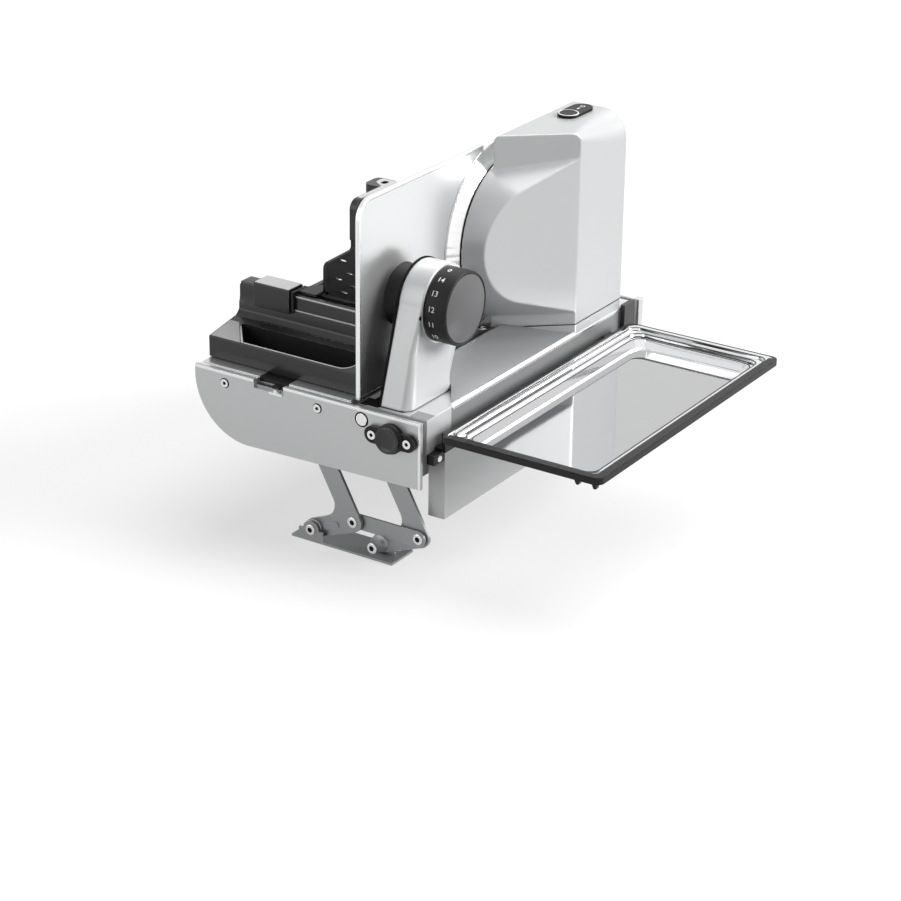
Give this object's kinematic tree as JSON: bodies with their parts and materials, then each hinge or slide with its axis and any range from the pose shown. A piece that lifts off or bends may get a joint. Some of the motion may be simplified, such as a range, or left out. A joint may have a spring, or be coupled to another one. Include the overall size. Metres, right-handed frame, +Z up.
{
  "type": "electric food slicer",
  "caption": "Fold-away electric food slicer on a swing-up linkage, with round blade, stop plate, thickness dial, sliding carriage and hanging tray.",
  "frame": {"origin": "middle of the four screw holes of the two foot brackets, on the surface that the brackets are screwed to", "axes": "+Z up; +X to the right along the front cheek, towards the tray; +Y back, from the latch side to the far cheek"},
  "size_m": [0.3985, 0.3673, 0.324],
  "materials": {
    "satin_silver": "satin silver paint",
    "cast_silver": "satin cast and painted",
    "plate_aluminium": "fine satin anodised",
    "sheet_steel": "satin grey paint",
    "zinc_steel": "pressed, zinc grey",
    "pin_steel": "turned",
    "blade_steel": "ground and polished",
    "pan_steel": "mirror polished stainless",
    "black_plastic": "fine grained",
    "anthracite_plastic": "satin",
    "seal_rubber": "matt",
    "gear_plastic": "natural",
    "copper": "varnished winding",
    "motor_iron": "laminated"
  },
  "bodies": {
    "mount": {"front_bracket": "zinc_steel", "rear_bracket": "zinc_steel", "bracket_pins": "pin_steel"},
    "left_arms": {"left_arm_front": "zinc_steel", "left_arm_rear": "zinc_steel", "lift_shaft": "pin_steel", "heel_pins": "pin_steel"},
    "right_arms": {"right_arm_front": "zinc_steel", "right_arm_rear": "zinc_steel", "right_heel_pins": "pin_steel"},
    "heel_links": {"heel_link_front": "zinc_steel", "heel_link_rear": "zinc_steel"},
    "base": {"base_tub": "sheet_steel", "front_frame": "sheet_steel", "rear_frame": "sheet_steel", "front_cheek": "plate_aluminium", "rear_cheek": "plate_aluminium", "end_cap": "cast_silver", "cheek_screws": "pin_steel", "arm_pins": "pin_steel", "fold_pins": "pin_steel", "notch_guide": "black_plastic", "latch_housing": "black_plastic", "latch_screws": "pin_steel"},
    "latch": {"latch_knob": "black_plastic", "latch_bolt": "pin_steel"},
    "machine": {"chassis": "cast_silver", "front_end_block": "cast_silver", "rear_end_block": "cast_silver", "end_seal": "seal_rubber", "apron": "sheet_steel", "tray_rail": "black_plastic", "dial_arm": "satin_silver", "motor_housing": "satin_silver", "blade_shroud": "satin_silver", "switch_bezel": "black_plastic", "motor_stator": "motor_iron", "motor_bearings": "pin_steel", "mains_inlet": "black_plastic"},
    "button": {"switch_button": "anthracite_plastic"},
    "rotor": {"armature": "copper", "pinion": "pin_steel"},
    "blade_set": {"blade": "blade_steel", "blade_bolt": "pin_steel", "gear_wheel": "gear_plastic"},
    "plate": {"stop_plate": "plate_aluminium", "plate_boss": "black_plastic", "plate_spindle": "pin_steel"},
    "dial": {"dial": "black_plastic"},
    "bed": {"carriage_bed": "plate_aluminium", "channel_strip": "black_plastic"},
    "carriage": {"carriage_body": "anthracite_plastic", "push_wall": "anthracite_plastic"},
    "holder": {"holder_slider": "anthracite_plastic", "spike_plate": "black_plastic", "spikes": "pin_steel", "holder_head": "anthracite_plastic"},
    "tray": {"tray_frame": "black_plastic", "tray_hooks": "black_plastic", "tray_pan": "pan_steel"}
  },
  "joints": [
    {"name": "lift_swing", "type": "hinge", "parent": "mount", "child": "left_arms", "pos_m": [-0.032, 0, 0.011], "axis": [0, -1, 0], "range_deg": [0, 60]},
    {"name": "lift_level", "type": "hinge", "parent": "left_arms", "child": "base", "pos_m": [-0.026, 0, 0.089], "axis": [0, -1, 0], "range_deg": [-60.5, 0.5]},
    {"name": "lift_right_arm", "type": "hinge", "parent": "mount", "child": "right_arms", "pos_m": [0.032, 0, 0.011], "axis": [0, -1, 0], "range_deg": [-0.5, 60.5]},
    {"name": "lift_heel_link", "type": "hinge", "parent": "left_arms", "child": "heel_links", "pos_m": [0.008, 0, 0.0265], "axis": [0, -1, 0], "range_deg": [-60.5, 0.5]},
    {"name": "fold", "type": "hinge", "parent": "base", "child": "machine", "pos_m": [0.022, 0, 0.127], "axis": [0, -1, 0], "range_deg": [0, 90]},
    {"name": "bed_lift_off", "type": "slide", "parent": "base", "child": "bed", "axis": [-1, 0, 0], "range_m": [-0.0005, 0.299]},
    {"name": "carriage_slide", "type": "slide", "parent": "bed", "child": "carriage", "axis": [0, 1, 0], "range_m": [0, 0.125]},
    {"name": "holder_slide", "type": "slide", "parent": "carriage", "child": "holder", "axis": [1, 0, 0], "range_m": [0, 0.062]},
    {"name": "blade_spin", "type": "hinge", "parent": "machine", "child": "blade_set", "pos_m": [0.0095, 0.0495, 0.2235], "axis": [1, 0, 0], "continuous": true},
    {"name": "motor_spin", "type": "hinge", "parent": "machine", "child": "rotor", "pos_m": [0.045, 0.1058, 0.2235], "axis": [-1, 0, 0], "continuous": true},
    {"name": "dial_turn", "type": "hinge", "parent": "machine", "child": "dial", "pos_m": [0.067, -0.1049, 0.2146], "axis": [1, 0, 0], "range_deg": [0, 336]},
    {"name": "plate_slide", "type": "slide", "parent": "machine", "child": "plate", "axis": [1, 0, 0], "range_m": [-0.0002, 0.0142]},
    {"name": "button_press", "type": "slide", "parent": "machine", "child": "button", "axis": [0, 0, -1], "range_m": [0, 0.0012], "stiffness_N_per_m": 800, "springref_m": -0.001},
    {"name": "latch_pull", "type": "slide", "parent": "base", "child": "latch", "axis": [0, -1, 0], "range_m": [0, 0.006], "stiffness_N_per_m": 500, "springref_m": -0.004},
    {"name": "tray_lift_off", "type": "slide", "parent": "machine", "child": "tray", "axis": [0, 0, 1], "range_m": [0, 0.04]}
  ],
  "couplings": [
    {"joint": "lift_level", "follows": "lift_swing", "ratio": -1},
    {"joint": "lift_right_arm", "follows": "lift_swing", "ratio": 1},
    {"joint": "lift_heel_link", "follows": "lift_swing", "ratio": -1},
    {"joint": "bed_lift_off", "follows": "fold", "m_per_rad": 0.19},
    {"joint": "motor_spin", "follows": "blade_spin", "ratio": 8.3333},
    {"joint": "plate_slide", "follows": "dial_turn", "m_per_rad": 0.0023873}
  ]
}
